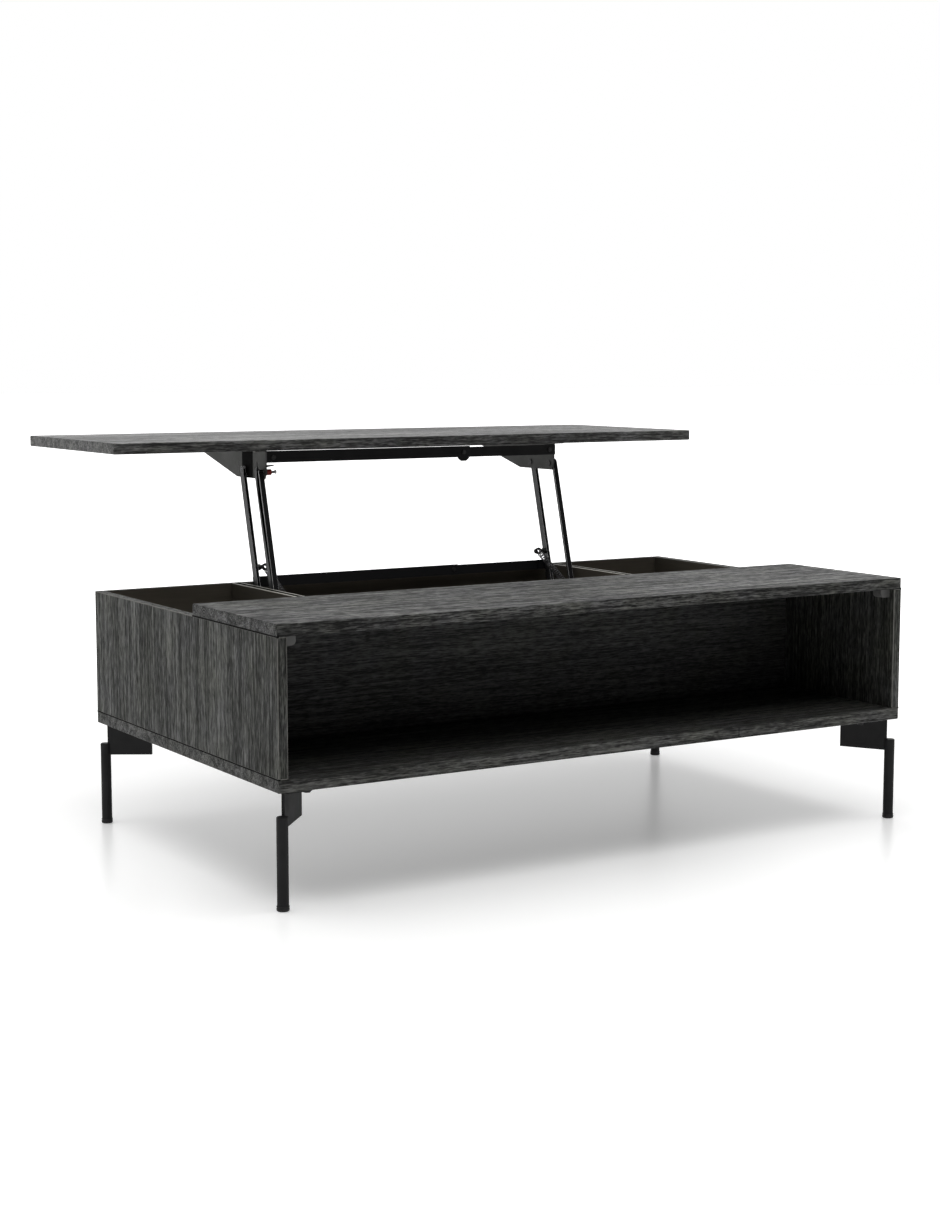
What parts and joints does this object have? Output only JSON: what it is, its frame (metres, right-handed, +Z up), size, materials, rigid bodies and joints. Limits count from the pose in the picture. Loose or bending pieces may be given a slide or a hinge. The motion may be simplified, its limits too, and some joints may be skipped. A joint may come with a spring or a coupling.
{
  "type": "lift top coffee table",
  "caption": "Rectangular coffee table on four angled-plate legs with an open front shelf, storage wells and a rear top that lifts and swings back on parallel arms.",
  "frame": {"origin": "centre of the bounding box of the table with its top raised, at the floor", "axes": "+Z up, +X to the right of someone facing the open shelf, +Y from the open shelf to the rear"},
  "size_m": [1.2, 1.0046, 0.6597],
  "materials": {
    "oak_base": "grey-black stained oak veneer, open grain along the width, satin",
    "oak_side": "grey-black stained oak veneer, open grain upright, satin",
    "oak_top": "grey-black stained oak, open grain along the width, satin",
    "oak_shelf_back": "black stained oak veneer, grain along the width, matt",
    "well_lining": "dark brown laminate, satin",
    "grey_plastic": "dark grey moulded connector block",
    "zinc_screws": "zinc plated screws",
    "black_leg_paint": "matt black powder coat",
    "black_foot_plastic": "black moulded foot cap",
    "black_bolts": "black oxide bolts",
    "bright_steel": "bright plated steel",
    "red_bush": "red-brown plastic bush",
    "spring_steel": "dark drawn spring wire",
    "arm_steel": "dark lacquered pressed steel, satin with rubbed edges",
    "bracket_steel": "dark lacquered steel plate, satin",
    "bar_steel": "black lacquered steel strip",
    "black_pins": "black oxide pins, screws and nuts"
  },
  "bodies": {
    "case": {"base_panel": "oak_base", "left_side_panel": "oak_side", "right_side_panel": "oak_side", "rear_panel": "well_lining", "shelf_back_panel": "oak_shelf_back", "fixed_front_top": "oak_top", "left_divider": "well_lining", "right_divider": "well_lining", "left_corner_block": "grey_plastic", "right_corner_block": "grey_plastic", "block_screws": "zinc_screws", "front_left_leg": "black_leg_paint", "front_right_leg": "black_leg_paint", "rear_left_leg": "black_leg_paint", "rear_right_leg": "black_leg_paint", "front_left_foot": "black_foot_plastic", "front_right_foot": "black_foot_plastic", "rear_left_foot": "black_foot_plastic", "rear_right_foot": "black_foot_plastic", "leg_bolts": "black_bolts", "left_base_bracket": "bracket_steel", "right_base_bracket": "bracket_steel", "base_bracket_screws": "zinc_screws", "left_rear_base_pin": "black_pins", "left_front_base_pin": "black_pins", "right_rear_base_pin": "black_pins", "right_front_base_pin": "black_pins", "left_spring_anchor": "black_pins", "right_spring_anchor": "black_pins", "left_spring": "spring_steel", "right_spring": "spring_steel"},
    "rear_arms": {"left_rear_arm": "arm_steel", "right_rear_arm": "arm_steel", "left_spring_pin": "black_pins", "right_spring_pin": "black_pins", "left_spring_eye": "black_pins", "right_spring_eye": "black_pins", "lower_bar_left": "bar_steel", "lower_bar_right": "bar_steel", "lower_bar_screws": "black_pins"},
    "left_front_arm": {"left_front_arm": "arm_steel"},
    "right_front_arm": {"right_front_arm": "arm_steel"},
    "lift_top": {"lift_top": "oak_top", "left_upper_bracket": "bracket_steel", "right_upper_bracket": "bracket_steel", "upper_bracket_screws": "zinc_screws", "left_rear_top_pin": "black_pins", "right_rear_top_pin": "black_pins", "left_front_top_bolt": "black_pins", "right_front_top_pin": "black_pins", "pivot_nut": "black_pins", "pivot_bush": "red_bush", "pivot_cap": "bright_steel", "upper_bar_left": "bar_steel", "upper_bar_right": "bar_steel", "upper_bar_screws": "black_pins"}
  },
  "joints": [
    {"name": "arm_fold", "type": "hinge", "parent": "case", "child": "rear_arms", "pos_m": [0, 0.15069, 0.36696], "axis": [1, 0, 0], "range_deg": [0, 105.6], "deforming": ["left_spring", "right_spring"]},
    {"name": "lift_top_level", "type": "hinge", "parent": "rear_arms", "child": "lift_top", "pos_m": [0, 0.21333, 0.60071], "axis": [1, 0, 0], "range_deg": [-105.6, 0]},
    {"name": "left_front_arm_fold", "type": "hinge", "parent": "case", "child": "left_front_arm", "pos_m": [0, 0.08619, 0.36696], "axis": [1, 0, 0], "range_deg": [0, 105.6]},
    {"name": "right_front_arm_fold", "type": "hinge", "parent": "case", "child": "right_front_arm", "pos_m": [0, 0.08619, 0.36696], "axis": [1, 0, 0], "range_deg": [0, 105.6]}
  ],
  "couplings": [
    {"joint": "lift_top_level", "follows": "arm_fold", "ratio": -1},
    {"joint": "left_front_arm_fold", "follows": "arm_fold", "ratio": 1},
    {"joint": "right_front_arm_fold", "follows": "arm_fold", "ratio": 1}
  ]
}
